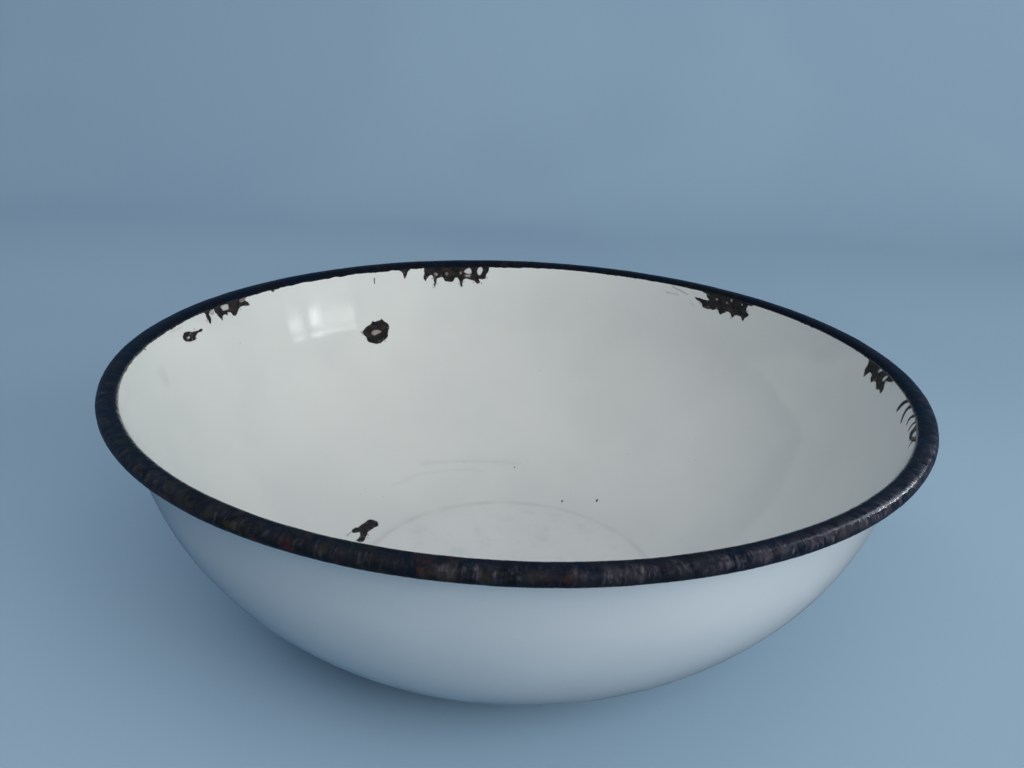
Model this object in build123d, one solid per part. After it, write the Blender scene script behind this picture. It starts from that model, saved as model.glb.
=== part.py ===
from build123d import *
import os
from math import acos, cos, degrees, radians, sin, tan

# Enamelled round basin: one pressed steel sheet with a rolled rim, coated in vitreous enamel.
# Every piece is a full turn about the vertical axis. Z = 0 is the plane that the basin stands on.
# All sizes are in millimetres, and all slopes are in degrees from the horizontal.

# ---- the bowl's outside face, from the base up -------------------------------------------------
BASE_RADIUS = 71.0        # the flat round base ends here and the wall starts to climb
WALL_START = 14.8         # slope of the wall at the base
LOWER_WALL_RADIUS = 122.0
HAND_OVER = 60.0          # slope where the wall's lower arc runs into its upper arc
UPPER_WALL_RADIUS = 107.0
WALL_END = 74.8           # slope where the upper arc runs into the straight band below the rim
STRAIGHT_BAND = 29.0

# ---- the sheet and its coats -------------------------------------------------------------------
COVER_COAT = 0.25         # white enamel, and the blue-black edging over the curl
GROUND_COAT = 0.15        # first enamel, against the steel
STEEL = 0.6

# ---- the rolled rim ----------------------------------------------------------------------------
CURL_RADIUS = 2.8         # outside radius of the curl's two rounds
CURL_FLAT = 2.4           # width of the flat between them, on the top and underneath
EDGE_GAP = 0.4            # from the sheet's rolled edge to the coated wall
COAT_TUCK = 0.6           # how far the wall's outside coats run up behind the curl's underside

# ---- depths through the wall, from its inside face, which is also the outside of the curl ------
INSIDE = 0.0
COVER_BACK = COVER_COAT
STEEL_FACE = COVER_BACK + GROUND_COAT
STEEL_BACK = STEEL_FACE + STEEL
GROUND_BACK = STEEL_BACK + GROUND_COAT
OUTSIDE = GROUND_BACK + COVER_COAT


def along(slope):
    """Unit vector up a line of this slope, away from the axis."""
    return Vector(cos(radians(slope)), sin(radians(slope)))


def inward(slope):
    """Unit vector square to a wall of this slope, into the bowl."""
    return Vector(-sin(radians(slope)), cos(radians(slope)))


# ---- the section's fixed points, with X as the radius and Y as the height ----------------------
LOWER_CENTRE = Vector(BASE_RADIUS, 0) + inward(WALL_START) * LOWER_WALL_RADIUS
UPPER_CENTRE = LOWER_CENTRE + inward(HAND_OVER) * (UPPER_WALL_RADIUS - LOWER_WALL_RADIUS)
BAND_START = UPPER_CENTRE - inward(WALL_END) * UPPER_WALL_RADIUS
BAND_TOP = BAND_START + along(WALL_END) * STRAIGHT_BAND
CURL_INNER_CENTRE = BAND_TOP + inward(WALL_END) * (OUTSIDE - CURL_RADIUS)
CURL_OUTER_CENTRE = CURL_INNER_CENTRE + Vector(CURL_FLAT, 0)
CURL_BOTTOM = CURL_INNER_CENTRE.Y - CURL_RADIUS


def arc(centre, radius, start, end):
    """Arc about a centre, between two directions in degrees from the X axis."""
    directions = (start, (start + end) / 2, end)
    return ThreePointArc(*(centre + along(direction) * radius for direction in directions))


def band_point(depth, height):
    """The point at this height on the straight band's line at this depth."""
    start = BAND_START + inward(WALL_END) * (OUTSIDE - depth)
    return Vector(start.X + (height - start.Y) / tan(radians(WALL_END)), height)


def bowl_line(depth, top=None):
    """The bowl's line at this depth: floor, two arcs, and the band up to `top` or to the curl."""
    inset = OUTSIDE - depth
    lower_radius = LOWER_WALL_RADIUS - inset
    first_slope = degrees(acos((LOWER_CENTRE.Y - inset) / lower_radius))
    if top is None:
        end = BAND_TOP + inward(WALL_END) * inset
    else:
        end = band_point(depth, top)
    lower = arc(LOWER_CENTRE, lower_radius, first_slope - 90, HAND_OVER - 90)
    upper = arc(UPPER_CENTRE, UPPER_WALL_RADIUS - inset, HAND_OVER - 90, WALL_END - 90)
    return [Line(Vector(0, inset), lower @ 0), lower, upper, Line(upper @ 1, end)]


def curl_line(depth, gap=0.0):
    """The curl's line at this depth, over the top and back underneath to `gap` from the wall."""
    radius = CURL_RADIUS - depth
    inner = arc(CURL_INNER_CENTRE, radius, WALL_END + 90, 90)
    outer = arc(CURL_OUTER_CENTRE, radius, 90, -90)
    end = band_point(OUTSIDE, CURL_BOTTOM + depth) + Vector(gap, 0)
    return [inner, Line(inner @ 1, outer @ 0), outer, Line(outer @ 1, end)]


def turned(front, back):
    """Solid of revolution between two lines of the section that run the same way."""
    start = Line(back[0] @ 0, front[0] @ 0)
    end = Line(front[-1] @ 1, back[-1] @ 1)
    section = make_face([start, *front, end, *back])
    return revolve(Plane.XZ * section, Axis.Z)


def steel_shell():
    """The pressed sheet: base, wall and hollow rolled rim."""
    front = bowl_line(STEEL_FACE) + curl_line(STEEL_FACE, EDGE_GAP)
    back = bowl_line(STEEL_BACK) + curl_line(STEEL_BACK, EDGE_GAP)
    return turned(front, back)


def ground_coat_inside():
    """Dark first enamel over the sheet's inner face and round the curl to the wall."""
    front = bowl_line(COVER_BACK) + curl_line(COVER_BACK)
    back = bowl_line(STEEL_FACE) + curl_line(STEEL_FACE)
    return turned(front, back)


def ground_coat_outside():
    """Dark first enamel over the sheet's outer face, up behind the curl."""
    top = CURL_BOTTOM + STEEL_FACE + COAT_TUCK
    return turned(bowl_line(STEEL_BACK, top), bowl_line(GROUND_BACK, top))


def white_enamel_inside():
    """White cover enamel of the bowl's inside, up to the start of the curl."""
    return turned(bowl_line(INSIDE), bowl_line(COVER_BACK))


def white_enamel_outside():
    """White cover enamel of the outside and the underside, up behind the curl."""
    top = CURL_BOTTOM + STEEL_FACE + COAT_TUCK
    return turned(bowl_line(GROUND_BACK, top), bowl_line(OUTSIDE, top))


def rim_enamel():
    """Blue-black edging enamel over the curl, closed against the wall underneath."""
    return turned(curl_line(INSIDE), curl_line(COVER_BACK))


PIECES = (
    steel_shell,
    ground_coat_inside,
    ground_coat_outside,
    white_enamel_inside,
    white_enamel_outside,
    rim_enamel,
)

os.makedirs("parts", exist_ok=True)
for piece in PIECES:
    export_step(piece(), f"parts/{piece.__name__}.step")
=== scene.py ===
import math

import bpy
import numpy as np
from mathutils import Matrix, Quaternion, Vector
from mathutils.geometry import delaunay_2d_cdt


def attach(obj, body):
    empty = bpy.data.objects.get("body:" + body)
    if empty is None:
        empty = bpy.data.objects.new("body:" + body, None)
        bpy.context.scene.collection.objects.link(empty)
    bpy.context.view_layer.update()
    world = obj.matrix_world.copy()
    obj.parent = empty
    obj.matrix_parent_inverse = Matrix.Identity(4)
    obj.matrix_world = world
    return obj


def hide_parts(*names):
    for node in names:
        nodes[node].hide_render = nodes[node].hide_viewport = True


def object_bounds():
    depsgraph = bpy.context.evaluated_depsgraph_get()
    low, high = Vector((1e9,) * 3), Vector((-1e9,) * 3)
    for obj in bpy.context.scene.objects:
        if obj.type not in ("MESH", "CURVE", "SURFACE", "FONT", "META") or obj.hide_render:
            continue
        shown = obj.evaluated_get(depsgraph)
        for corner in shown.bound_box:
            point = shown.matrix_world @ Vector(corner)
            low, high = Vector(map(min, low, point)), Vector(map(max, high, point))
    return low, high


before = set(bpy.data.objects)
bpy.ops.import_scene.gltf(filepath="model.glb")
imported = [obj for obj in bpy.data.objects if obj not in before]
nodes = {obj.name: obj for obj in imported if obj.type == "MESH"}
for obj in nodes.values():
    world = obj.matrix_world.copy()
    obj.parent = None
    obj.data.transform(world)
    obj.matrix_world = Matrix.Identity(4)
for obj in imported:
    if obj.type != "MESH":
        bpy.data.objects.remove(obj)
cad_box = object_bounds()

# Looks of an old enamelled basin: white glaze inside and out, a blue-black rolled rim, and chips that
# go through the white coat to the dark first coat below. Lengths are metres, written as so many MM.
# A place on the inner wall is an angle in degrees, anticlockwise from +X seen from above, and a drop:
# the distance down the wall from the line where the rolled rim starts.

MM = 0.001
FULL_TURN = 2 * math.pi

# ---- the bowl's section, as the CAD model has it -----------------------------------------------
BASE_RADIUS = 71.0 * MM
WALL_START = math.radians(14.8)
LOWER_WALL_RADIUS = 122.0 * MM
HAND_OVER = math.radians(60.0)
UPPER_WALL_RADIUS = 107.0 * MM
WALL_END = math.radians(74.8)
STRAIGHT_BAND = 29.0 * MM
COVER_COAT = 0.25 * MM
WALL_THICKNESS = 1.4 * MM
CURL_RADIUS = 2.8 * MM
CURL_FLAT = 2.4 * MM

LOWER_CENTRE = (
    BASE_RADIUS - LOWER_WALL_RADIUS * math.sin(WALL_START),
    LOWER_WALL_RADIUS * math.cos(WALL_START),
)
UPPER_CENTRE = (
    LOWER_CENTRE[0] + (LOWER_WALL_RADIUS - UPPER_WALL_RADIUS) * math.sin(HAND_OVER),
    LOWER_CENTRE[1] - (LOWER_WALL_RADIUS - UPPER_WALL_RADIUS) * math.cos(HAND_OVER),
)

# ---- small irregularities ----------------------------------------------------------------------
CREASE_ROUNDING = 2.5 * MM    # half the run over which the floor's crease is rounded
CREASE_DEPTH = 0.10 * MM      # the pressed line along the crease
CREASE_WIDTH = 1.5 * MM
WAVE_HEIGHT = 0.10 * MM       # slow unevenness of the pressed wall
CHIP_STEP = 0.35 * MM         # spacing of points along a chip's edge
CHIP_RAGGED = 0.22 * MM       # how far a chip's edge strays from its drawn line
HALO_REACH = 3.0 * MM         # how far rust stains the glaze beyond a chip
FRINGE = 0.7 * MM             # width of the stained fringe along a chip's edge


# ==== Noise and small helpers ===============================
def cell_random(column, row, seed):
    """A fixed random number in 0..1 for each whole column and row."""
    mixed = column.astype(np.int64) * 374761393 + row.astype(np.int64) * 668265263 + seed * 974711
    mixed = (mixed ^ (mixed >> 13)) * 1274126177
    mixed = mixed ^ (mixed >> 16)
    return (mixed & 0xFFFF) / 65535.0


def smooth_noise(across, along, seed, around=0):
    """Value noise in -1..1. Columns repeat after `around` cells, if it is given."""
    column = np.floor(across)
    row = np.floor(along)
    x = across - column
    y = along - row
    x = x * x * (3 - 2 * x)
    y = y * y * (3 - 2 * y)
    left = column % around if around else column
    right = (column + 1) % around if around else column + 1
    low = cell_random(left, row, seed) * (1 - x) + cell_random(right, row, seed) * x
    high = cell_random(left, row + 1, seed) * (1 - x) + cell_random(right, row + 1, seed) * x
    return 2 * (low * (1 - y) + high * y) - 1


def ring_noise(angle, along, cells, seed):
    """Noise round the basin, with this many cells to the turn, so that it closes on itself."""
    return smooth_noise(angle / FULL_TURN * cells, along, seed, cells)


def on_ring(radius, height, angle):
    """Points at these radii, heights and angles."""
    return np.stack([radius * np.cos(angle), radius * np.sin(angle), height], axis=-1)


def unit(vectors):
    """Vectors scaled to length 1."""
    return vectors / np.maximum(np.linalg.norm(vectors, axis=-1, keepdims=True), 1e-12)


# ==== The bowl's faces ======================================
class BowlFace:
    """The bowl's face at a depth inside its outside face, from the centre out along the section."""

    def __init__(self, inset):
        self.inset = inset
        self.lower_radius = LOWER_WALL_RADIUS - inset
        self.upper_radius = UPPER_WALL_RADIUS - inset
        self.first_slope = math.acos((LOWER_CENTRE[1] - inset) / self.lower_radius)
        floor = LOWER_CENTRE[0] + self.lower_radius * math.sin(self.first_slope)
        lower = self.lower_radius * (HAND_OVER - self.first_slope)
        upper = self.upper_radius * (WALL_END - HAND_OVER)
        self.marks = np.cumsum([floor, lower, upper, STRAIGHT_BAND])

    def sharp(self, run):
        """Radius and height at a distance along the section from the axis."""
        floor_end, lower_end, upper_end, _ = self.marks
        slope = self.first_slope + (run - floor_end) / self.lower_radius
        radius = LOWER_CENTRE[0] + self.lower_radius * np.sin(slope)
        height = LOWER_CENTRE[1] - self.lower_radius * np.cos(slope)
        slope = HAND_OVER + (run - lower_end) / self.upper_radius
        radius = np.where(run > lower_end, UPPER_CENTRE[0] + self.upper_radius * np.sin(slope), radius)
        height = np.where(run > lower_end, UPPER_CENTRE[1] - self.upper_radius * np.cos(slope), height)
        band_radius = UPPER_CENTRE[0] + self.upper_radius * math.sin(WALL_END)
        band_height = UPPER_CENTRE[1] - self.upper_radius * math.cos(WALL_END)
        beyond = run - upper_end
        radius = np.where(run > upper_end, band_radius + beyond * math.cos(WALL_END), radius)
        height = np.where(run > upper_end, band_height + beyond * math.sin(WALL_END), height)
        radius = np.where(run < floor_end, run, radius)
        height = np.where(run < floor_end, self.inset, height)
        return radius, height

    def rounded(self, run):
        """The same, with the crease at the floor's edge rounded."""
        near = np.abs(run - self.marks[0]) < 2 * CREASE_ROUNDING
        shifts = np.linspace(-1, 1, 7) * CREASE_ROUNDING
        spread = [self.sharp(run + shift) for shift in shifts]
        radius, height = self.sharp(run)
        radius = np.where(near, np.mean([pair[0] for pair in spread], axis=0), radius)
        height = np.where(near, np.mean([pair[1] for pair in spread], axis=0), height)
        return radius, height


INNER = BowlFace(WALL_THICKNESS)
OUTER = BowlFace(0.0)
INNER_END = INNER.marks[3]
OUTER_END = OUTER.marks[3]


def inner_point(angle, run):
    """Points of the bowl's glazed inside face, with its slow unevenness and the crease's line."""
    radius, height = INNER.rounded(run)
    crease = np.exp(-(((run - INNER.marks[0]) / CREASE_WIDTH) ** 2))
    fade = np.clip((INNER_END - run) / (20 * MM), 0, 1) * np.clip(run / (20 * MM), 0, 1)
    wave = ring_noise(angle, run / (45 * MM), 14, 5) * WAVE_HEIGHT * fade
    return on_ring(radius, height + wave - CREASE_DEPTH * crease, angle)


def outer_point(angle, run):
    """Points of the bowl's glazed outside face, flat underneath and slightly uneven up the wall."""
    radius, height = OUTER.sharp(run)
    fade = np.clip((OUTER_END - run) / (20 * MM), 0, 1)
    fade = fade * np.clip((run - BASE_RADIUS) / (20 * MM), 0, 1)
    wave = ring_noise(angle, run / (45 * MM), 14, 5) * WAVE_HEIGHT * fade
    return on_ring(radius, height + wave, angle)


def face_normals(point, angle, run):
    """Normals of a face given by a point function, on the side that faces into the bowl."""
    out_step = 0.2 * MM
    turn_step = 0.002
    around = point(angle + turn_step, run) - point(angle - turn_step, run)
    outward = point(angle, run + out_step) - point(angle, run - out_step)
    normals = unit(np.cross(outward, around))
    normals[run < 4 * out_step] = (0, 0, 1)
    return normals


# ==== Chips in the white glaze inside: each is a closed line of (angle in degrees, drop in MM) 
RIM_CHIPS = {
    "left_comb": [
        (162.4, -0.6), (161.9, 2.2), (161.7, 5.0), (161.3, 7.0), (160.8, 5.4), (160.9, 2.6),
        (160.2, 0.9), (159.5, 1.1), (159.3, 3.2), (158.8, 5.4), (158.1, 7.7), (157.7, 5.7),
        (157.0, 5.5), (156.5, 6.6), (156.2, 5.3), (155.6, 5.6), (155.2, 7.6), (154.2, 7.6),
        (153.6, 5.4), (152.2, 4.7), (150.7, 4.9), (151.0, 3.4), (151.6, 1.5), (152.0, -0.6),
    ],
    "left_drip": [(145.4, -0.6), (144.9, 1.2), (144.6, 1.9), (144.2, 1.0), (143.8, -0.6)],
    "back_notch": [
        (116.4, -0.6), (116.0, 1.6), (115.6, 3.3), (115.3, 5.9), (114.9, 4.4), (114.5, 2.4),
        (113.9, 0.9), (113.7, -0.6),
    ],
    "back_comb": [
        (111.1, -0.6), (111.0, 3.0), (111.1, 6.5), (110.8, 8.3), (110.5, 6.6), (110.1, 5.4),
        (109.5, 4.8), (109.1, 6.0), (109.0, 9.0), (108.8, 11.8), (108.5, 9.0), (108.3, 7.0),
        (107.6, 6.2), (106.9, 6.7), (106.6, 8.5), (105.7, 9.3), (104.9, 8.8), (104.5, 7.3),
        (104.0, 6.8), (103.6, 7.8), (103.4, 10.5), (103.1, 12.7), (102.8, 10.2), (102.6, 8.0),
        (101.4, 7.9), (100.4, 8.8), (99.5, 10.3), (99.2, 9.6), (99.3, 7.7), (98.6, 8.0),
        (98.0, 7.4), (97.7, 5.0), (97.3, 3.4), (97.2, 1.6), (97.0, -0.6),
    ],
    "right_comb": [
        (51.6, -0.6), (51.2, 0.6), (50.5, 1.2), (50.1, 2.6), (49.6, 3.7), (51.0, 4.1),
        (52.7, 4.4), (52.0, 5.7), (51.0, 6.6), (50.6, 8.3), (49.5, 8.8), (48.2, 8.6),
        (47.1, 8.0), (46.6, 9.6), (46.1, 10.1), (45.6, 8.6), (44.9, 7.7), (44.2, 8.2),
        (43.6, 10.2), (43.2, 8.5), (42.3, 7.9), (41.6, 8.6), (41.1, 9.9), (40.6, 8.0),
        (40.1, 6.0), (40.8, 4.3), (40.9, 1.6), (40.1, 0.8), (39.2, -0.6),
    ],
    "side_comb": [
        (8.4, -0.6), (8.1, 2.6), (8.2, 5.2), (7.7, 8.2), (7.1, 6.6), (6.5, 4.6),
        (6.0, 5.0), (5.6, 7.0), (5.1, 8.1), (4.5, 7.0), (3.9, 6.5), (3.3, 7.5),
        (2.6, 8.9), (2.1, 8.1), (1.5, 8.0), (0.9, 8.7), (0.5, 7.2), (0.8, 4.8),
        (1.1, 2.8), (0.3, 2.1), (-0.7, 1.2), (-1.5, -0.6),
    ],
    "side_loop": [
        (-18.2, -0.6), (-18.0, 1.0), (-17.6, 3.0), (-17.4, 4.8), (-18.2, 6.0), (-19.8, 5.3),
        (-21.4, 3.3), (-22.3, 1.2), (-22.9, -0.6),
    ],
}
# glaze left standing inside a chip: how stained it is, from 0 to 1, and its outline
RIM_ISLANDS = [
    (0.35, [(157.7, 1.3), (157.4, 3.3), (156.6, 3.8), (155.8, 3.3), (155.7, 1.6), (156.6, 0.9)]),
    (0.9, [(152.9, 1.6), (152.2, 0.8), (151.4, 1.0), (151.6, 2.1), (152.6, 2.4)]),
    (0.4, [(160.6, 2.0), (160.2, 1.2), (159.7, 1.4), (159.8, 2.4), (160.3, 2.8)]),
    (0.2, [(102.5, 3.4), (102.0, 1.7), (101.3, 1.2), (100.9, 2.5), (100.9, 4.1), (101.8, 4.4)]),
    (0.7, [(102.4, 5.3), (101.6, 4.9), (100.9, 5.1), (101.2, 6.2), (102.1, 6.4)]),
    (0.1, [(99.7, 2.6), (99.3, 0.9), (98.7, 0.8), (98.5, 1.9), (98.8, 4.6), (99.2, 5.6)]),
    (0.8, [(108.9, 4.1), (108.4, 3.5), (108.0, 4.8), (108.5, 5.5)]),
    (1.0, [(106.5, 4.0), (106.2, 3.2), (105.8, 4.7), (106.2, 5.8)]),
    (0.9, [(103.5, 3.7), (103.1, 3.0), (102.9, 4.4), (103.3, 5.1)]),
    (0.85, [(48.2, 2.2), (47.8, 1.8), (47.6, 2.4), (47.9, 3.2)]),
    (0.6, [(44.9, 0.6), (44.6, 0.5), (44.5, 1.4), (44.8, 1.7)]),
    (0.95, [(45.8, 2.4), (45.4, 2.3), (45.3, 3.3), (45.7, 3.5)]),
    (0.8, [(42.3, 1.0), (42.1, 1.1), (42.1, 2.3), (42.3, 2.0)]),
    (0.1, [(-21.8, 0.2), (-20.6, 0.3), (-19.7, 1.4), (-19.4, 2.9), (-20.0, 3.3), (-21.0, 2.1)]),
    (0.2, [(4.3, 0.9), (3.8, -0.2), (3.4, 0.0), (3.7, 1.2), (4.4, 2.3)]),
    (0.2, [(2.2, 3.3), (1.7, 1.2), (1.1, 0.4), (1.3, 1.8), (1.9, 3.9)]),
]
WALL_CHIPS = {
    "ring_chip": [
        (126.0, 34.1), (125.4, 32.2), (124.8, 30.9), (123.8, 30.1), (123.3, 28.4), (122.7, 29.0),
        (121.9, 28.4), (121.1, 28.3), (120.6, 29.6), (119.9, 31.0), (119.7, 33.0), (120.1, 35.0),
        (120.2, 37.5), (120.8, 39.5), (122.0, 41.2), (123.0, 41.8), (124.2, 40.9), (125.1, 39.1),
        (125.4, 36.4),
    ],
    "small_ring": [
        (169.3, 6.0), (168.4, 5.4), (167.4, 6.0), (166.5, 6.9), (165.9, 7.4), (165.9, 9.3),
        (166.3, 10.9), (167.2, 10.7), (168.3, 10.1), (169.2, 8.9), (169.6, 7.3),
    ],
    "comet": [
        (150.5, 142.0), (150.8, 140.2), (151.4, 138.9), (153.6, 138.3), (156.0, 138.2), (158.8, 138.0),
        (160.0, 137.0), (161.2, 136.8), (162.4, 137.8), (161.9, 139.0), (160.5, 140.3), (160.9, 141.4),
        (162.6, 142.3), (165.4, 142.5), (165.3, 144.2), (163.4, 145.3), (160.2, 144.6), (158.0, 143.7),
        (155.0, 143.6), (152.8, 144.2), (151.2, 143.6),
    ],
}
WALL_ISLANDS = [
    (0.75, [(124.0, 35.2), (123.7, 34.0), (122.9, 33.6), (121.9, 34.3), (121.5, 35.1), (122.4, 36.0),
            (123.2, 36.9), (123.8, 36.3)]),
    (0.5, [(168.6, 8.3), (168.2, 7.7), (167.7, 8.0), (167.7, 8.7), (168.2, 8.9)]),
]
# a stroke is a tapered line of (angle, drop, half width in MM)
STROKES = [
    [(166.1, 8.2, 0.7), (165.0, 8.0, 0.5), (163.9, 8.1, 0.45)],
    [(121.8, 4.0, 0.14), (121.9, 5.6, 0.2), (121.9, 7.3, 0.12)],
    [(-9.6, -0.6, 0.8), (-8.8, 0.9, 0.9), (-7.9, 3.1, 1.1), (-7.4, 5.4, 1.2), (-7.1, 7.4, 0.6)],
    [(-11.8, -0.6, 0.8), (-10.8, 1.4, 1.0), (-10.4, 3.6, 1.1), (-10.5, 6.2, 1.0), (-11.1, 8.3, 0.5)],
    [(-15.3, -0.6, 0.5), (-14.0, 1.7, 0.7), (-13.5, 3.9, 0.9), (-13.7, 6.0, 0.5)],
    [(-17.4, -0.6, 0.5), (-16.5, 1.7, 0.7), (-16.1, 4.0, 0.9), (-15.9, 5.8, 0.5)],
    [(-24.4, -0.6, 0.6), (-22.8, 1.1, 0.7), (-21.6, 3.6, 0.8), (-21.3, 6.8, 0.4)],
    [(69.3, 144.3, 0.35), (69.1, 145.2, 0.3)],
    [(56.7, 136.5, 0.25), (56.6, 138.0, 0.25)],
    [(89.9, 124.5, 0.22), (89.6, 125.1, 0.2)],
    [(181.9, 0.4, 0.2), (181.4, 1.3, 0.12)],
]
# faint stains in the glaze that don't break it: a strength from 0 to 1, and a stroke
STAINS = [
    (0.10, [(121, 117.6, 1.2), (114, 118.6, 1.6), (107, 119.9, 1.8), (99, 121.0, 1.5), (88, 121.9, 1.0)]),
    (0.08, [(134, 126.0, 1.0), (124, 124.2, 1.4), (112, 125.0, 1.2), (101, 127.4, 0.9)]),
    (0.60, [(58.0, 0.7, 0.3), (56.9, 1.9, 0.5), (55.8, 2.6, 0.65), (54.9, 3.3, 0.5), (54.2, 3.8, 0.3)]),
    (0.35, [(59.2, 4.8, 0.3), (57.6, 5.0, 0.55), (56.2, 4.9, 0.3)]),
    (0.25, [(53.4, 7.2, 0.3), (53.0, 8.4, 0.5), (52.4, 9.4, 0.3)]),
    (0.18, [(172.5, 1.5, 0.4), (170.6, 2.2, 0.6), (168.7, 2.4, 0.3)]),
    (0.70, [(162.8, 137.4, 0.3), (164.0, 137.2, 0.5), (165.6, 136.9, 0.4)]),
]
FLECK_SIZE = 0.17 * MM        # the smallest crumbs of glaze, and the smallest pits beside a chip
FLECKS_PER_MM = 0.24


def wall_radius(drop):
    """Radius of the inner wall this far below the rim line."""
    return float(INNER.sharp(np.array(INNER_END - drop))[0])


def smooth_loop(corners, step):
    """A smooth closed line through the corners, with points about a step apart."""
    corners = np.array(corners, float)
    before = np.roll(corners, 1, axis=0)
    after = np.roll(corners, -1, axis=0)
    later = np.roll(corners, -2, axis=0)
    points = []
    for p0, p1, p2, p3 in zip(before, corners, after, later):
        d0, d1, d2 = (max(np.linalg.norm(b - a), 1e-9) for a, b in ((p0, p1), (p1, p2), (p2, p3)))
        leave = d1 * ((p1 - p0) / d0 - (p2 - p0) / (d0 + d1) + (p2 - p1) / d1)
        arrive = d1 * ((p2 - p1) / d1 - (p3 - p1) / (d1 + d2) + (p3 - p2) / d2)
        count = max(2, int(d1 / step))
        t = (np.arange(count) / count)[:, None]
        points.append(
            (2 * t**3 - 3 * t**2 + 1) * p1 + (t**3 - 2 * t**2 + t) * leave
            + (3 * t**2 - 2 * t**3) * p2 + (t**3 - t**2) * arrive
        )
    return np.concatenate(points)


def outward_of(loop):
    """Unit vectors out of a closed line, at each of its points."""
    edge = np.roll(loop, -1, axis=0) - np.roll(loop, 1, axis=0)
    normal = unit(np.stack([edge[:, 1], -edge[:, 0]], axis=1))
    turned_over = np.sum(loop[:, 0] * np.roll(loop[:, 1], -1) - np.roll(loop[:, 0], -1) * loop[:, 1]) < 0
    return -normal if turned_over else normal


def ragged(loop, amount, seed):
    """The closed line with each point moved in or out by a little noise."""
    place = np.arange(len(loop))
    coarse = smooth_noise(place / 4.0, place * 0, seed)
    fine = smooth_noise(place / 1.5, place * 0, seed + 1)
    return loop + outward_of(loop) * ((coarse + 0.6 * fine) * amount)[:, None]


def flat_loop(corners, seed, amount=CHIP_RAGGED):
    """A chip's ragged outline as (angle in radians, run) pairs."""
    corners = np.array(corners, float)
    middle = corners.mean(axis=0)
    radius = wall_radius(middle[1] * MM)
    across = np.radians(corners[:, 0] - middle[0]) * radius
    down = corners[:, 1] * MM
    loop = ragged(smooth_loop(np.stack([across, down], axis=1), CHIP_STEP), amount, seed)
    angle = math.radians(middle[0]) + loop[:, 0] / radius
    return np.stack([angle, INNER_END - loop[:, 1]], axis=1)


def stroke_corners(stroke):
    """The corners round a tapered stroke."""
    line = np.array(stroke, float)
    per_degree = math.radians(1) * wall_radius(line[:, 1].mean() * MM) / MM
    flat = np.stack([line[:, 0] * per_degree, line[:, 1]], axis=1)
    along = unit(np.gradient(flat, axis=0))
    side = np.stack([along[:, 1], -along[:, 0]], axis=1) * line[:, 2:3]
    tip_start = flat[:1] - along[:1] * line[0, 2]
    tip_end = flat[-1:] + along[-1:] * line[-1, 2]
    loop = np.concatenate([tip_start, flat + side, tip_end, (flat - side)[::-1]])
    return [(x / per_degree, y) for x, y in loop]


def flecks(loop, share_inside, seed):
    """Little ragged spots scattered either side of a chip's edge."""
    chance = np.random.default_rng(seed)
    radius = wall_radius(INNER_END - loop[:, 1].mean())
    flat = np.stack([loop[:, 0] * radius, loop[:, 1]], axis=1)
    length = np.linalg.norm(np.roll(flat, -1, axis=0) - flat, axis=1).sum()
    outward = outward_of(flat)
    spots = []
    for index in chance.integers(0, len(loop), int(length / MM * FLECKS_PER_MM)):
        size = FLECK_SIZE * chance.uniform(0.8, 2.0)
        away = (-1 if chance.random() < share_inside else 1) * (size + chance.uniform(0.25, 1.0) * MM)
        centre = flat[index] + outward[index] * away
        turn = np.arange(7) * FULL_TURN / 7
        reach = size * chance.uniform(0.6, 1.3, 7)
        spot = centre + np.stack([reach * np.cos(turn), 1.5 * reach * np.sin(turn)], axis=1)
        if centre[1] < INNER_END - 1.0 * MM:
            spots.append((away < 0, np.stack([spot[:, 0] / radius, spot[:, 1]], axis=1)))
    return spots


def all_outlines():
    """Every hole in the glaze, and every island of glaze left in one with how stained it is."""
    chips = list(RIM_CHIPS.values()) + list(WALL_CHIPS.values())
    holes = [flat_loop(corners, 11 + 3 * i) for i, corners in enumerate(chips)]
    islands = [
        (stained, flat_loop(corners, 401 + 3 * i, CHIP_RAGGED * 0.7))
        for i, (stained, corners) in enumerate(RIM_ISLANDS + WALL_ISLANDS)
    ]
    pits = []
    for i, loop in enumerate(holes):
        for is_crumb, spot in flecks(loop, 0.72, 600 + i):
            if is_crumb:
                islands.append((0.8, spot))
            else:
                pits.append(spot)
    for i, stroke in enumerate(STROKES):
        holes.append(flat_loop(stroke_corners(stroke), 201 + 3 * i, CHIP_RAGGED * 0.4))
    return holes + pits, islands


def shrunk(loop, scale):
    """A closed line scaled about its middle."""
    middle = loop.mean(axis=0)
    return middle + (loop - middle) * scale


def unrolled(angle, run):
    """The flat map that the glaze is triangulated on, in MM: distance from the centre and angle."""
    return np.stack([run / MM * np.cos(angle), run / MM * np.sin(angle)], axis=-1)


def inside(points, loop):
    """Which points lie inside a closed line."""
    found = np.zeros(len(points), bool)
    low, high = loop.min(axis=0), loop.max(axis=0)
    near = np.nonzero(((points >= low) & (points <= high)).all(axis=1))[0]
    if len(near) == 0:
        return found
    x, y = points[near, 0][:, None], points[near, 1][:, None]
    start, end = loop, np.roll(loop, -1, axis=0)
    crosses = (start[:, 1] > y) != (end[:, 1] > y)
    rise = np.where(end[:, 1] == start[:, 1], 1.0, end[:, 1] - start[:, 1])
    cut = start[:, 0] + (y - start[:, 1]) / rise * (end[:, 0] - start[:, 0])
    found[near] = (crosses & (x < cut)).sum(axis=1) % 2 == 1
    return found


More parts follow.
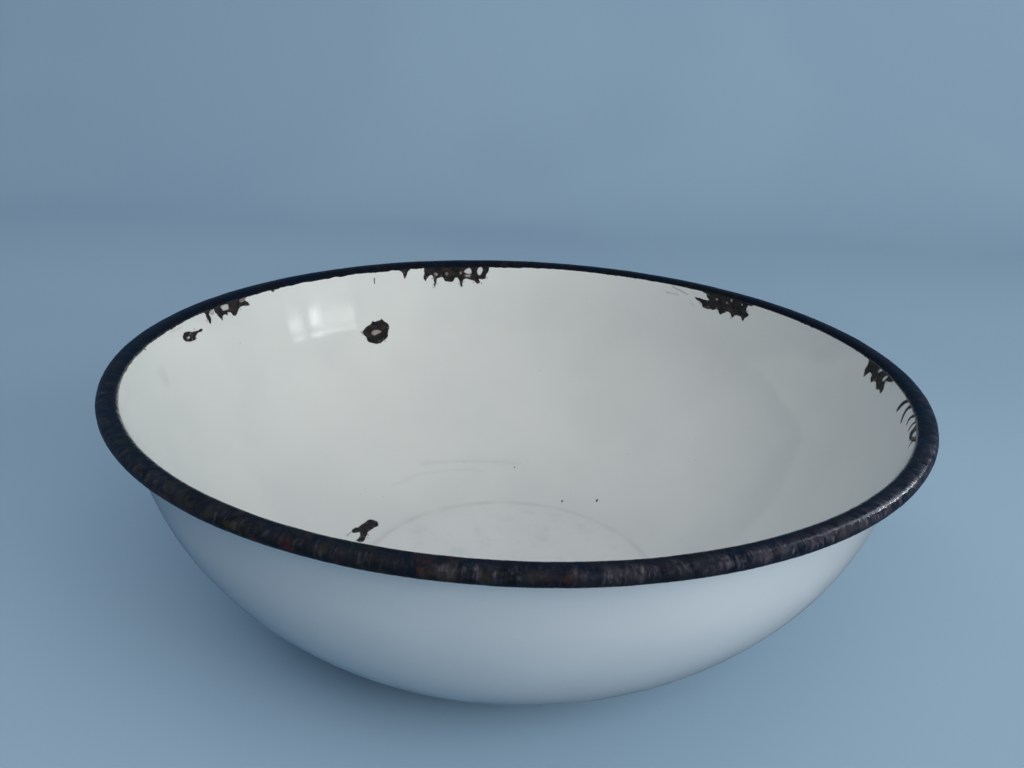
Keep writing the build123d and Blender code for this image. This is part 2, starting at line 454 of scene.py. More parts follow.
# ==== Meshes ================================================
def make_object(name, points, faces, normals=None, material=None):
    """A mesh object from arrays, with smooth corner normals where they are given."""
    mesh = bpy.data.meshes.new(name)
    mesh.from_pydata(points.tolist(), [], faces)
    mesh.polygons.foreach_set("use_smooth", [True] * len(mesh.polygons))
    if normals is not None:
        mesh.normals_split_custom_set(normals.tolist())
    if material:
        mesh.materials.append(material)
    piece = bpy.data.objects.new(name, mesh)
    bpy.context.scene.collection.objects.link(piece)
    return piece


def set_mask(piece, name, values):
    """A number for each point of the mesh, for its material to read."""
    layer = piece.data.attributes.new(name, "FLOAT", "POINT")
    layer.data.foreach_set("value", np.asarray(values, np.float32))


def layer_mesh(triangles, angle, run, point, thickness):
    """A closed coat: its face, its back a thickness away, and walls along every open edge.
    The face looks into the bowl, and the back lies towards the steel."""
    count = len(angle)
    normals = face_normals(point, angle, run)
    face = point(angle, run)
    back = face - normals * thickness
    edges = np.concatenate([triangles[:, [0, 1]], triangles[:, [1, 2]], triangles[:, [2, 0]]])
    key = np.minimum(edges[:, 0], edges[:, 1]) * count + np.maximum(edges[:, 0], edges[:, 1])
    _, places, uses = np.unique(key, return_index=True, return_counts=True)
    rim = edges[places[uses == 1]]
    walls = np.stack([rim[:, 1], rim[:, 0], rim[:, 0] + count, rim[:, 1] + count], axis=1)
    points = np.concatenate([face, back])
    faces = triangles.tolist() + (triangles[:, ::-1] + count).tolist() + walls.tolist()
    first, second, third = (points[walls[:, k]] for k in range(3))
    flat = unit(np.cross(second - first, third - second))
    corner_normals = np.concatenate([
        normals[triangles].reshape(-1, 3),
        -normals[triangles[:, ::-1]].reshape(-1, 3),
        np.repeat(flat, 4, axis=0),
    ])
    return points, faces, corner_normals


def ring_runs():
    """Distances from the centre at which the background net has a ring of points."""
    floor_end = INNER.marks[0]
    floor = np.arange(6 * MM, floor_end - 5 * MM, 5 * MM)
    crease = floor_end + np.linspace(-4, 4, 17) * MM
    wall = np.arange(floor_end + 6 * MM, INNER_END - 14 * MM, 3 * MM)
    top = np.linspace(INNER_END - 12 * MM, INNER_END, 7)
    return np.concatenate([floor, crease, wall, top])


def net_points():
    """The background net: rings of staggered points from the centre to the glaze's upper edge."""
    sectors = 300
    net = [np.zeros((1, 2))]
    for i, run in enumerate(ring_runs()):
        share = 4 if run < 30 * MM else 2 if run < 60 * MM else 1
        angle = (np.arange(sectors // share) + 0.5 * (i % 2)) * FULL_TURN * share / sectors
        net.append(unrolled(angle, np.full(len(angle), run)))
    return net


def stain_lines():
    """Each stain's border and its middle line, with half its width and its strength."""
    lines = []
    for strength, stroke in STAINS:
        border = flat_loop(stroke_corners(stroke), 0, 0)
        line = np.array(stroke, float)
        place = np.linspace(0, len(line) - 1, 24 * (len(line) - 1) + 1)
        middle = np.stack([np.interp(place, np.arange(len(line)), line[:, k]) for k in range(3)], axis=1)
        spots = unrolled(np.radians(middle[:, 0]), INNER_END - middle[:, 1] * MM)
        lines.append((unrolled(border[:, 0], border[:, 1]), spots, middle[:, 2], strength))
    return lines


def nearness(spots, targets, reach):
    """For each spot, 1 on the nearest target, falling to 0 at that target's reach. All in MM."""
    near = np.zeros(len(spots))
    reach = np.broadcast_to(reach, len(targets))
    for i in range(0, len(spots), 2000):
        gap = np.linalg.norm(spots[i:i + 2000, None, :] - targets[None, :, :], axis=2)
        near[i:i + 2000] = np.clip(1 - gap / reach, 0, 1).max(axis=1)
    return near


def inner_glaze(material):
    """The bowl's white glaze inside, with every chip cut through it."""
    net = net_points()
    holes, islands = all_outlines()
    hole_loops = [unrolled(loop[:, 0], loop[:, 1]) for loop in holes]
    island_loops = [unrolled(loop[:, 0], loop[:, 1]) for _, loop in islands]
    stains = stain_lines()
    loops = net[-1:] + hole_loops + island_loops + [border for border, _, _, _ in stains]
    edges = []
    start = sum(len(part) for part in net[:-1])
    for loop in loops:
        edges += [(start + i, start + (i + 1) % len(loop)) for i in range(len(loop))]
        start += len(loop)
    loose = [spots[::3] for _, spots, _, _ in stains]
    loose += [(loop + outward_of(loop) * FRINGE / MM)[::2] for loop in hole_loops]
    loose += [shrunk(loop, 0.6)[::2] for loop in island_loops]
    flat = np.concatenate(net[:-1] + loops + loose)
    cut = delaunay_2d_cdt([Vector(p) for p in flat.tolist()], edges, [], 0, 1e-5)
    spots = np.array([tuple(v) for v in cut[0]])
    triangles = np.array([face for face in cut[2] if len(face) == 3])
    middle = spots[triangles].mean(axis=1)
    gone = np.linalg.norm(middle, axis=1) > INNER_END / MM - 0.01
    for loop in hole_loops:
        gone |= inside(middle, loop)
    for loop in island_loops:
        gone &= ~inside(middle, loop)
    used, kept = np.unique(triangles[~gone], return_inverse=True)
    kept = kept.reshape(-1, 3)
    spots = spots[used]
    turned = np.cross(spots[kept[:, 1]] - spots[kept[:, 0]], spots[kept[:, 2]] - spots[kept[:, 0]]) < 0
    kept[turned] = kept[turned][:, ::-1]
    angle = np.arctan2(spots[:, 1], spots[:, 0])
    run = np.minimum(np.linalg.norm(spots, axis=1) * MM, INNER_END)
    points, faces, normals = layer_mesh(kept, angle, run, inner_point, COVER_COAT)
    piece = make_object("inner_glaze", points, faces, normals, material)

    halo = nearness(spots, np.concatenate(hole_loops)[::3], HALO_REACH / MM)
    residue = np.zeros(len(spots))
    for (stained, _), loop in zip(islands, island_loops):
        residue[inside(spots, shrunk(loop, 1.02))] = min(stained + 0.4, 1)
        residue[inside(spots, shrunk(loop, 0.8))] = stained
    # painted shade: a dark line along the floor's crease, to which the real stains are added below
    line = np.exp(-(((run - INNER.marks[0]) / CREASE_WIDTH) ** 2))
    stains_and_crease_shade = 0.2 * line * (0.6 + 0.4 * ring_noise(angle, run * 0, 60, 61))
    for _, centre, half_width, strength in stains:
        stains_and_crease_shade = np.maximum(stains_and_crease_shade, strength * nearness(spots, centre, half_width))
    floor = np.clip((INNER.marks[0] - run) / (6 * MM), 0, 1)
    for name, values in (("halo", halo), ("residue", residue), ("stains_and_crease_shade", stains_and_crease_shade), ("floor", floor)):
        set_mask(piece, name, np.tile(values, 2))
    return piece


def outer_glaze(material):
    """The bowl's white glaze outside and underneath, up behind the rolled rim."""
    sectors = 420
    floor = np.array([0, 12, 25, 38, 50, 58, 63, 66, 68, 69.2, 70, 70.5]) * MM
    wall = np.linspace(BASE_RADIUS + 0.3 * MM, OUTER_END - 2.5 * MM, 90)
    runs = np.concatenate([floor[1:], wall])
    angles = np.arange(sectors) * FULL_TURN / sectors
    run = np.concatenate([[1e-9], np.repeat(runs, sectors)])
    angle = np.concatenate([[0], np.tile(angles, len(runs))])
    step = np.arange(sectors)
    after = (step + 1) % sectors
    fan = np.stack([np.zeros(sectors, int), 1 + step, 1 + after], axis=1)
    parts = [fan]
    for i in range(len(runs) - 1):
        low, high = 1 + i * sectors, 1 + (i + 1) * sectors
        parts.append(np.stack([low + step, high + step, high + after], axis=1))
        parts.append(np.stack([low + step, high + after, low + after], axis=1))
    triangles = np.concatenate(parts)
    face = outer_point(angle, run)
    normals = face_normals(outer_point, angle, run)
    count = len(run)
    back = face + normals * COVER_COAT
    top = count - sectors
    walls = np.stack([top + step, top + after, top + after + count, top + step + count], axis=1)
    points = np.concatenate([face, back])
    faces = triangles[:, ::-1].tolist() + (triangles + count).tolist() + walls[:, ::-1].tolist()
    corner_normals = np.concatenate([
        -normals[triangles[:, ::-1]].reshape(-1, 3),
        normals[triangles].reshape(-1, 3),
        np.tile([0.0, 0.0, 1.0], (4 * sectors, 1)),
    ])
    piece = make_object("outer_glaze", points, faces, corner_normals, material)
    base = np.exp(-(((run - BASE_RADIUS) / (5 * MM)) ** 2)) + 0.25 * (run < BASE_RADIUS)
    set_mask(piece, "base", np.tile(np.clip(base, 0, 1), 2))
    return piece


# ==== The rolled rim's blue-black glaze =====================
CURL_CENTRE = (
    INNER.sharp(np.array(INNER_END))[0] + CURL_RADIUS * math.sin(WALL_END),
    INNER.sharp(np.array(INNER_END))[1] - CURL_RADIUS * math.cos(WALL_END),
)
INNER_ROUND = CURL_RADIUS * WALL_END
OUTER_ROUND = CURL_RADIUS * math.pi
RIM_TOP = INNER_ROUND + CURL_FLAT
RIM_UNDER = RIM_TOP + OUTER_ROUND
RIM_SEAM = RIM_UNDER + 4.7 * MM
RIM_SECTORS = 2800
# the lap over the white inside: how far down it runs by angle in degrees, and the section of its edge
LAP_ANGLES = (0, 80, 95, 170, 200, 300)
LAP_DROPS = (0.1, 0.1, 0.9, 0.9, 0.3, 0.2)
LAP_SINK = 0.10 * MM
LAP_BACK_SINK = 0.2 * MM
LAP_STEP = 0.12 * MM
LAP_LIFT = 0.06 * MM
# how worn the rim is, by angle in degrees: fine streaks across it, which are partly wear and partly painted
# sheen, and olive or rusty patches
RIM_WEAR_AND_SHEEN = {
    "wear_and_sheen_streaks": (
        (0, 90, 180, 210, 250, 275, 295, 318, 335),
        (0.4, 0.3, 0.1, 0.35, 0.2, 0.45, 1.0, 1.0, 0.6),
    ),
    "rust": (
        (0, 90, 170, 200, 215, 250, 275, 300, 325, 340),
        (0.1, 0.3, 0.1, 0.6, 0.9, 0.7, 0.5, 0.2, 0.5, 0.2),
    ),
}


def curl_section(way):
    """Radius, height and outward normal of the rim's section, at a distance from the line where it
    starts. A negative distance is down the inner wall."""
    turn = math.pi - (math.pi / 2 - WALL_END)
    wall = INNER.sharp(INNER_END + np.minimum(way, 0))
    first = turn - np.clip(way, 0, INNER_ROUND) / CURL_RADIUS
    radius = CURL_CENTRE[0] + CURL_RADIUS * np.cos(first)
    height = CURL_CENTRE[1] + CURL_RADIUS * np.sin(first)
    across = np.clip(way - INNER_ROUND, 0, CURL_FLAT)
    second = np.clip(way - RIM_TOP, 0, OUTER_ROUND) / CURL_RADIUS
    radius = radius + across + CURL_RADIUS * np.sin(second)
    height = height - CURL_RADIUS * (1 - np.cos(second))
    radius = radius - np.clip(way - RIM_UNDER, 0, None)
    radius = np.where(way < 0, wall[0], radius)
    height = np.where(way < 0, wall[1], height)
    pointing = np.where(way < RIM_TOP, first, math.pi / 2 - second)
    return radius, height, np.cos(pointing), np.sin(pointing)


def rim_point(angle, way, rise):
    """Points of the rim, raised from its nominal face."""
    radius, height, out, up = curl_section(way)
    return on_ring(radius + out * rise, height + up * rise, angle)


def rim_relief(angle, way):
    """How far the rim's glaze stands above its nominal face: lumps, ripples, and ridges across it.
    They fade out where the glaze laps over the white."""
    lumps = 0.06 * ring_noise(angle, way / (7 * MM), 90, 21)
    ripples = 0.035 * ring_noise(angle, way / (4 * MM), 260, 22)
    ridges = 0.025 * ring_noise(angle, way / (3 * MM), 700, 23)
    fade = np.clip((way - 0.4 * MM) / (1.6 * MM), 0, 1)
    return (0.12 + (lumps + ripples + ridges) * fade) * MM


def lap_line(angle):
    """How far the rim's glaze runs down the inner wall at each angle."""
    degrees = np.degrees(angle) % 360
    drawn = np.interp(degrees, LAP_ANGLES, LAP_DROPS, period=360)
    wobble = 0.25 * ring_noise(angle, angle * 0, 260, 31) + 0.15 * ring_noise(angle, angle * 0, 800, 32)
    return np.maximum(drawn + wobble, 0.2) * MM


def rim_glaze(material):
    """The rim's glaze: a closed ring that laps over the white inside and ends at the outer wall."""
    angle = np.arange(RIM_SECTORS) * FULL_TURN / RIM_SECTORS
    level = np.ones(RIM_SECTORS)
    lap = lap_line(angle)
    lapped = -lap + 0.6 * MM
    fronts = [lapped + (6 * MM - lapped) * share for share in np.linspace(0, 1, 8)]
    fronts += [level * way for way in np.linspace(6.7 * MM, RIM_UNDER, 13)]
    fronts += [level * way for way in np.linspace(RIM_UNDER + 1.2 * MM, RIM_SEAM, 4)]
    backs = [level * way for way in (RIM_SEAM, RIM_UNDER, RIM_TOP + 5.8 * MM, RIM_TOP + 2.9 * MM)]
    backs += [level * RIM_TOP, level * INNER_ROUND, -lap + 0.8 * MM]
    ways = [-lap, -lap + LAP_STEP, *fronts, *backs, -lap + 0.1 * MM]
    rises = [-LAP_SINK * level, LAP_LIFT * level]
    rises += [rim_relief(angle, way) for way in fronts]
    rises += [-COVER_COAT * level for _ in backs]
    rises.append(-LAP_BACK_SINK * level)
    rows = len(ways)
    points = np.stack([rim_point(angle, way, rise) for way, rise in zip(ways, rises)])
    points = points.reshape(-1, 3)
    step = np.arange(RIM_SECTORS)
    after = (step + 1) % RIM_SECTORS
    quads = []
    for i in range(rows):
        low, high = i * RIM_SECTORS, (i + 1) % rows * RIM_SECTORS
        quads.append(np.stack([low + step, low + after, high + after, high + step], axis=1))
    piece = make_object("rim_glaze", points, np.concatenate(quads).tolist(), None, material)
    piece.data.set_sharp_from_angle(angle=math.radians(60))
    way = np.stack(ways)
    # the streaks, partly wear and partly painted sheen, are strongest on the outer round just past the rim's
    # flat top
    share = {
        "wear_and_sheen_streaks": np.exp(-(((way - RIM_TOP - 2.2 * MM) / (3 * MM)) ** 2)),
        "rust": np.clip((way - RIM_TOP) / (3 * MM), 0.5, 1),
    }
    for name, (places, amounts) in RIM_WEAR_AND_SHEEN.items():
        drawn = np.interp(np.degrees(angle), places, amounts, period=360)
        uneven = np.clip(drawn + 0.35 * drawn * ring_noise(angle, angle * 0, 90, 71), 0, 1)
        set_mask(piece, name, (uneven * share[name]).ravel())
    return piece


# ==== Materials =============================================
class Paint:
    """A material under construction: each method adds a node and returns its output."""

    def __init__(self, name, **sockets):
        self.material = bpy.data.materials.new(name)
        self.material.use_nodes = True
        self.tree = self.material.node_tree
        self.tree.nodes.clear()
        out = self.tree.nodes.new("ShaderNodeOutputMaterial")
        self.shader = self.tree.nodes.new("ShaderNodeBsdfPrincipled")
        self.tree.links.new(self.shader.outputs[0], out.inputs["Surface"])
        for socket, value in sockets.items():
            self.shader.inputs[socket.replace("_", " ")].default_value = value
        self.place = self.tree.nodes.new("ShaderNodeTexCoord").outputs["Object"]

    def node(self, kind, inputs, **settings):
        made = self.tree.nodes.new(kind)
        for name, value in settings.items():
            setattr(made, name, value)
        for socket, value in inputs.items():
            if isinstance(value, bpy.types.NodeSocket):
                self.tree.links.new(value, made.inputs[socket])
            elif value is not None:
                made.inputs[socket].default_value = value
        return made

    def noise(self, size, detail=2.0, roughness=0.5, place=None, distortion=0.0):
        """Noise in 0..1 with features of about this size in metres."""
        inputs = {
            "Vector": place or self.place, "Scale": 1 / size, "Detail": detail,
            "Roughness": roughness, "Distortion": distortion,
        }
        return self.node("ShaderNodeTexNoise", inputs).outputs["Fac"]

    def specks(self, size, place=None):
        """Distance from the nearest of many scattered points, one to each cell of this size."""
        inputs = {"Vector": place or self.place, "Scale": 1 / size}
        return self.node("ShaderNodeTexVoronoi", inputs).outputs["Distance"]

    def ramp(self, value, low, high):
        """The value spread so that low becomes 0 and high becomes 1."""
        inputs = {"Value": value, "From Min": low, "From Max": high, "To Min": 0.0, "To Max": 1.0}
        return self.node("ShaderNodeMapRange", inputs, interpolation_type="SMOOTHSTEP").outputs[0]

    def between(self, value, first, last):
        """A number that runs from first to last as the value goes from 0 to 1."""
        inputs = {"Value": value, "From Min": 0.0, "From Max": 1.0, "To Min": first, "To Max": last}
        return self.node("ShaderNodeMapRange", inputs).outputs[0]

    def math(self, operation, first, second):
        return self.node("ShaderNodeMath", {0: first, 1: second}, operation=operation).outputs[0]

    def mix(self, amount, first, second):
        """One colour painted over another."""
        made = self.node("ShaderNodeMix", {0: amount, 6: first, 7: second}, data_type="RGBA")
        return made.outputs[2]

    def mask(self, name):
        """A number stored on the mesh by set_mask."""
        return self.node("ShaderNodeAttribute", {}, attribute_name=name).outputs["Fac"]

    def ring_place(self, height_share):
        """A place that changes round the basin and, by this share, with height, but not with radius."""
        parts = self.node("ShaderNodeSeparateXYZ", {0: self.place}).outputs
        flat = self.node("ShaderNodeCombineXYZ", {0: parts[0], 1: parts[1]}).outputs[0]
        unit_flat = self.node("ShaderNodeVectorMath", {0: flat}, operation="NORMALIZE").outputs[0]
        inputs = {0: unit_flat, "Scale": CURL_CENTRE[0]}
        ring = self.node("ShaderNodeVectorMath", inputs, operation="SCALE").outputs[0]
        spread = self.node("ShaderNodeVectorMath", {0: self.place, "Scale": height_share}, operation="SCALE")
        return self.node("ShaderNodeVectorMath", {0: ring, 1: spread.outputs[0]}, operation="ADD").outputs[0]

    def bump(self, height, depth, below=None):
        """Surface relief of this depth in metres, where height goes from 0 to 1."""
        inputs = {"Height": height, "Distance": depth, "Strength": 1.0, "Normal": below}
        return self.node("ShaderNodeBump", inputs).outputs[0]

    def finish(self, **links):
        for socket, value in links.items():
            self.tree.links.new(value, self.shader.inputs[socket.replace("_", " ")])
        return self.material


def rgb(red, green, blue):
    """A colour given in the 0..255 values of a picture, as Blender's linear colour."""
    shares = [channel / 255 for channel in (red, green, blue)]
    return [((s + 0.055) / 1.055) ** 2.4 if s > 0.04045 else s / 12.92 for s in shares] + [1.0]


def inner_material():
    """White glaze inside: finely scuffed, with painted shade along the floor's crease, and stained beside
    the chips.
    """
    paint = Paint("white_glaze_inside", Specular_IOR_Level=0.5)
    slow = paint.ramp(paint.noise(0.06, 3), 0.35, 0.65)
    colour = paint.mix(slow, rgb(219, 222, 219), rgb(214, 217, 215))
    patches = paint.math("MULTIPLY", paint.ramp(paint.noise(0.011, 3, 0.6), 0.5, 0.72), paint.mask("floor"))
    colour = paint.mix(paint.math("MULTIPLY", patches, 0.4), colour, rgb(196, 200, 203))
    dust = paint.ramp(paint.specks(0.009), 0.05, 0.03)
    dust = paint.math("MULTIPLY", dust, paint.ramp(paint.noise(0.03, 1), 0.5, 0.62))
    colour = paint.mix(paint.math("MULTIPLY", dust, 0.4), colour, rgb(120, 112, 100))
    stain = paint.math(
        "MULTIPLY", paint.ramp(paint.mask("halo"), 0.6, 1.0), paint.ramp(paint.noise(0.0015, 2), 0.4, 0.7)
    )
    colour = paint.mix(paint.math("MULTIPLY", stain, 0.28), colour, rgb(168, 152, 144))
    fringe = paint.math("MULTIPLY", paint.ramp(paint.mask("halo"), 0.78, 1.0), 0.45)
    colour = paint.mix(fringe, colour, rgb(150, 138, 134))
    colour = paint.mix(paint.mask("residue"), colour, rgb(116, 101, 97))
    # painted shade along the floor's crease, and the real stains
    colour = paint.mix(paint.mask("stains_and_crease_shade"), colour, rgb(108, 108, 102))
    rough = paint.between(paint.ramp(paint.noise(0.012, 4), 0.35, 0.75), 0.07, 0.13)
    skin = paint.bump(paint.noise(0.009, 1), 0.00002)
    return paint.finish(Base_Color=colour, Roughness=rough, Normal=skin)


def outer_material():
    """White glaze outside, cleaner than the inside, with scuffs on the base that it stands on."""
    paint = Paint("white_glaze_outside", Specular_IOR_Level=0.5)
    slow = paint.ramp(paint.noise(0.07, 3), 0.35, 0.65)
    colour = paint.mix(slow, rgb(219, 224, 226), rgb(214, 219, 222))
    scuffs = paint.math("MULTIPLY", paint.ramp(paint.noise(0.004, 4, 0.65), 0.52, 0.68), paint.mask("base"))
    colour = paint.mix(scuffs, colour, rgb(142, 138, 132))
    rough = paint.between(paint.ramp(paint.noise(0.015, 4), 0.35, 0.75), 0.12, 0.2)
    skin = paint.bump(paint.noise(0.009, 1), 0.00002)
    return paint.finish(Base_Color=colour, Roughness=rough, Normal=skin)


def rim_material():
    """Blue-black edging glaze: mottled navy and purple-black, with lighter streaks across it that are partly
    wear and partly painted sheen, and olive and rusty patches."""
    paint = Paint("blue_black_glaze", Specular_IOR_Level=0.4)
    around = paint.ring_place(0.25)
    colour = paint.mix(paint.ramp(paint.noise(0.012, 3), 0.42, 0.58), rgb(8, 17, 32), rgb(16, 14, 23))
    colour = paint.mix(paint.ramp(paint.noise(0.015, 3), 0.52, 0.68), colour, rgb(11, 18, 21))
    colour = paint.mix(paint.math("MULTIPLY", paint.mask("rust"), 0.9), colour, rgb(17, 19, 20))
    olive = paint.math("MULTIPLY", paint.ramp(paint.noise(0.0045, 4, 0.6), 0.46, 0.66), paint.mask("rust"))
    colour = paint.mix(olive, colour, rgb(50, 46, 30))
    red = paint.math("MULTIPLY", paint.ramp(paint.noise(0.007, 3), 0.58, 0.68), paint.mask("rust"))
    colour = paint.mix(paint.math("MULTIPLY", red, 0.75), colour, rgb(74, 38, 33))
    # lighter purple-grey mottle and strokes where the rim is streaked: partly wear, partly painted sheen of
    # light on the rim's ridges
    mottle_and_sheen = paint.math("MULTIPLY", paint.ramp(paint.noise(0.006, 4, 0.6), 0.3, 0.65), paint.mask("wear_and_sheen_streaks"))
    colour = paint.mix(paint.math("MULTIPLY", mottle_and_sheen, 0.75), colour, rgb(66, 64, 73))
    strokes = paint.ramp(paint.noise(0.0016, 4, 0.65, around), 0.45, 0.72)
    broken = paint.ramp(paint.noise(0.0024, 3, 0.6), 0.36, 0.66)
    wear_and_sheen_strokes = paint.math("MULTIPLY", paint.math("MULTIPLY", strokes, broken), paint.mask("wear_and_sheen_streaks"))
    colour = paint.mix(wear_and_sheen_strokes, colour, rgb(118, 111, 122))
    rough = paint.between(paint.ramp(paint.noise(0.003, 3), 0.35, 0.7), 0.1, 0.34)
    skin = paint.bump(paint.noise(0.0016, 3, 0.6), 0.00016)
    skin = paint.bump(paint.noise(0.005, 2), 0.0002, skin)
    return paint.finish(Base_Color=colour, Roughness=rough, Normal=skin)


def ground_material():
    """Dark first coat where the white has chipped off: pitted, with rust and pale residue."""
    paint = Paint("dark_ground_coat", Specular_IOR_Level=0.3)
    colour = paint.mix(paint.ramp(paint.noise(0.003, 3), 0.4, 0.6), rgb(25, 26, 28), rgb(41, 39, 38))
    rust = paint.ramp(paint.noise(0.0055, 4, 0.6), 0.52, 0.64)
    colour = paint.mix(paint.math("MULTIPLY", rust, 0.45), colour, rgb(70, 50, 42))
    pale = paint.ramp(paint.noise(0.0016, 3, 0.6), 0.58, 0.72)
    colour = paint.mix(paint.math("MULTIPLY", pale, 0.4), colour, rgb(92, 87, 86))
    rough = paint.between(paint.ramp(paint.noise(0.001, 3), 0.35, 0.7), 0.4, 0.8)
    skin = paint.bump(paint.noise(0.0009, 4, 0.6), 0.0003)
    return paint.finish(Base_Color=colour, Roughness=rough, Normal=skin)


def steel_material():
    """The bare sheet, which the coats cover everywhere."""
    paint = Paint("pressed_steel", Metallic=1.0)
    colour = paint.mix(paint.ramp(paint.noise(0.008, 4), 0.4, 0.65), rgb(128, 128, 130), rgb(104, 96, 90))
    rough = paint.between(paint.ramp(paint.noise(0.002, 4), 0.35, 0.7), 0.35, 0.6)
    skin = paint.bump(paint.noise(0.0008, 3), 0.00004)
    return paint.finish(Base_Color=colour, Roughness=rough, Normal=skin)


# ==== The basin =============================================
def dress(node, material):
    """Gives a CAD node its material."""
    node.data.materials.clear()
    node.data.materials.append(material)


ground = ground_material()
dress(nodes["steel_shell"], steel_material())
dress(nodes["ground_coat_inside"], ground)
dress(nodes["ground_coat_outside"], ground)

PIECES = (
    (inner_glaze(inner_material()), "white_enamel_inside", "white_enamel"),
    (outer_glaze(outer_material()), "white_enamel_outside", "white_enamel"),
    (rim_glaze(rim_material()), "rim_enamel", "rim_enamel"),
)
for piece, node, slot_name in PIECES:
    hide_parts(node)
    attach(piece, "root")


# ==== Studio: floor, camera and lights ======================
def studio_floor():
    """One sheet that lies flat under the basin and curves up behind it."""
    half_width, front, back, bend, height = 3.0, -3.0, 0.75, 0.5, 2.2
    section = [(front, 0.0)]
    section += [
        (back + bend * math.sin(turn), bend * (1 - math.cos(turn)))
        for turn in np.linspace(0, math.pi / 2, 24)
    ]
    section.append((back + bend, height))
    points = np.array([(x, y, z) for y, z in section for x in (-half_width, half_width)])
    faces = [(2 * i, 2 * i + 1, 2 * i + 3, 2 * i + 2) for i in range(len(section) - 1)]
    paint = Paint("studio_paper", Specular_IOR_Level=0.2, Roughness=0.85)
    tone = paint.noise(0.4, 2)
    colour = paint.mix(paint.ramp(tone, 0.4, 0.6), rgb(163, 189, 208), rgb(160, 186, 206))
    floor = make_object("studio_floor", points, faces, None, paint.finish(Base_Color=colour))
    floor.visible_glossy = False


def studio_wall():
    """A pale round wall at the floor's far edge. Only the camera sees it, so it casts no light."""
    radius, height, sectors = 2.95, 3.0, 96
    turn = np.arange(sectors) * FULL_TURN / sectors
    low = on_ring(radius, np.full(sectors, -0.01), turn)
    high = on_ring(radius, np.full(sectors, height), turn)
    faces = [(i, (i + 1) % sectors, (i + 1) % sectors + sectors, i + sectors) for i in range(sectors)]
    paint = Paint("studio_wall", Roughness=1.0, Base_Color=rgb(0, 0, 0), Specular_IOR_Level=0.0)
    paint.shader.inputs["Emission Color"].default_value = rgb(138, 158, 176)
    paint.shader.inputs["Emission Strength"].default_value = 1.0
    wall = make_object("studio_wall", np.concatenate([low, high]), faces, None, paint.material)
    wall.visible_diffuse = wall.visible_glossy = wall.visible_shadow = False


CAMERA_PLACE = Vector((0.0, -0.38546, 0.25255))
CAMERA_YAW = math.radians(-0.368)
CAMERA_PITCH = math.radians(21.626)
CAMERA_ROLL = math.radians(2.493)
CAMERA_LENS = 33.05
TARGET = (Vector(cad_box[0]) + Vector(cad_box[1])) / 2


def studio_camera():
    """A camera in front of the basin, above its rim and looking down into it."""
    data = bpy.data.cameras.new("camera")
    data.lens = CAMERA_LENS
    camera = bpy.data.objects.new("camera", data)
    turn = Matrix.Rotation(-CAMERA_YAW, 3, "Z") @ Matrix.Rotation(math.pi / 2 - CAMERA_PITCH, 3, "X")
    turn = turn @ Matrix.Rotation(CAMERA_ROLL, 3, "Z")
    camera.matrix_world = Matrix.Translation(CAMERA_PLACE) @ turn.to_4x4()
    bpy.context.scene.collection.objects.link(camera)
    bpy.context.scene.camera = camera


# lights by name: bearing clockwise from +Y and elevation, both in degrees, width, height, power, colour
SOFT_LIGHTS = {
    "key": (112, 18, 1.6, 1.0, 18.5, (0.97, 0.98, 0.95)),
    "overhead": (180, 68, 2.0, 2.0, 11.8, (1.0, 0.96, 0.9)),
    "front": (157, 38, 1.4, 1.0, 10.5, (1.0, 0.96, 0.9)),
    "left": (280, 52, 1.4, 1.0, 4.5, (0.94, 0.97, 1.0)),
}
BACK_LIGHT = {"back": (350, 12, 1.0, 0.5, 1.1, (1.0, 0.97, 0.93))}
WINDOW = {
    "window": (110.0, 8.85, 0.33, 0.026, 0.165, (0.93, 1.0, 0.95)),
    "window_bright": (101.8, 8.0, 0.11, 0.024, 0.13, (0.9, 0.97, 1.0)),
    "window_pane": (94.5, 6.7, 0.14, 0.026, 0.08, (0.9, 0.97, 1.0)),
}
RIM_GLEAMS = {
    "rim_sheen": (60, 33, 0.12, 0.32, 0.02, (0.75, 0.88, 1.0)),
    "rim_spark": (64, 22, 0.04, 0.03, 0.006, (0.9, 0.95, 1.0)),
}


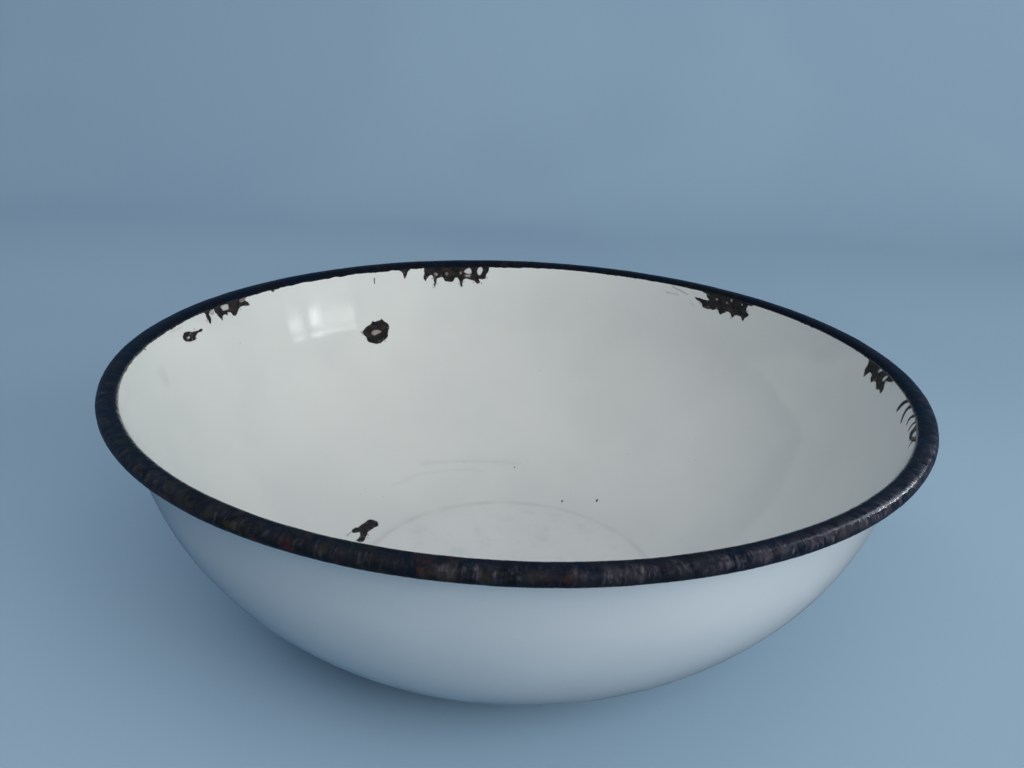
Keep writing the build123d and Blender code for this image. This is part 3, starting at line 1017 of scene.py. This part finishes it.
def soft_boxes(rows, aim, distance, in_gloss=True, tilt=0, spread=180, only=None):
    """Rectangular lights that face a point from this distance. They show either in reflections or as
    soft light. Tilt turns them in their own plane, and `only` names the one piece that they light."""
    for name, (bearing, elevation, width, height, power, colour) in rows.items():
        bearing, elevation = math.radians(bearing), math.radians(elevation)
        way = Vector((
            math.sin(bearing) * math.cos(elevation),
            math.cos(bearing) * math.cos(elevation),
            math.sin(elevation),
        ))
        data = bpy.data.lights.new(name, "AREA")
        data.shape = "RECTANGLE"
        data.size, data.size_y = width, height
        data.energy = power
        data.color = colour
        data.spread = math.radians(spread)
        light = bpy.data.objects.new(name, data)
        light.location = aim + way * distance
        facing = way.to_track_quat("Z", "Y") @ Quaternion((0, 0, 1), math.radians(tilt))
        light.rotation_euler = facing.to_euler()
        light.visible_camera = False
        light.visible_glossy = in_gloss
        light.visible_diffuse = not in_gloss
        bpy.context.scene.collection.objects.link(light)
        if only:
            group = bpy.data.collections.new(name + "_receivers")
            group.objects.link(bpy.data.objects[only])
            light.light_linking.receiver_collection = group


def studio_light():
    """A large soft light low on the right, others overhead, in front and on the left, a window's panes
    in the white inside, a gleam on the rim, and a light behind for the outside."""
    mirror = Vector(inner_point(np.array(math.radians(135)), np.array(INNER_END - 20 * MM)))
    gleam = Vector(rim_point(np.array(math.radians(-45)), np.array(RIM_TOP), np.array(0.0)))
    soft_boxes(SOFT_LIGHTS, TARGET, 1.9, in_gloss=False)
    soft_boxes(WINDOW, mirror, 1.5, tilt=-9, only="inner_glaze")
    soft_boxes(RIM_GLEAMS, gleam, 0.35, spread=40, only="rim_glaze")
    soft_boxes(BACK_LIGHT, TARGET, 0.7, in_gloss=False, only="outer_glaze")
    world = bpy.data.worlds.new("studio")
    world.use_nodes = True
    background = world.node_tree.nodes["Background"]
    background.inputs["Color"].default_value = (0.25, 0.55, 1.0, 1.0)
    background.inputs["Strength"].default_value = 0.13
    bpy.context.scene.world = world
    bpy.context.scene.view_settings.view_transform = "Standard"


studio_floor()
studio_camera()
studio_wall()
studio_light()

bpy.context.view_layer.update()
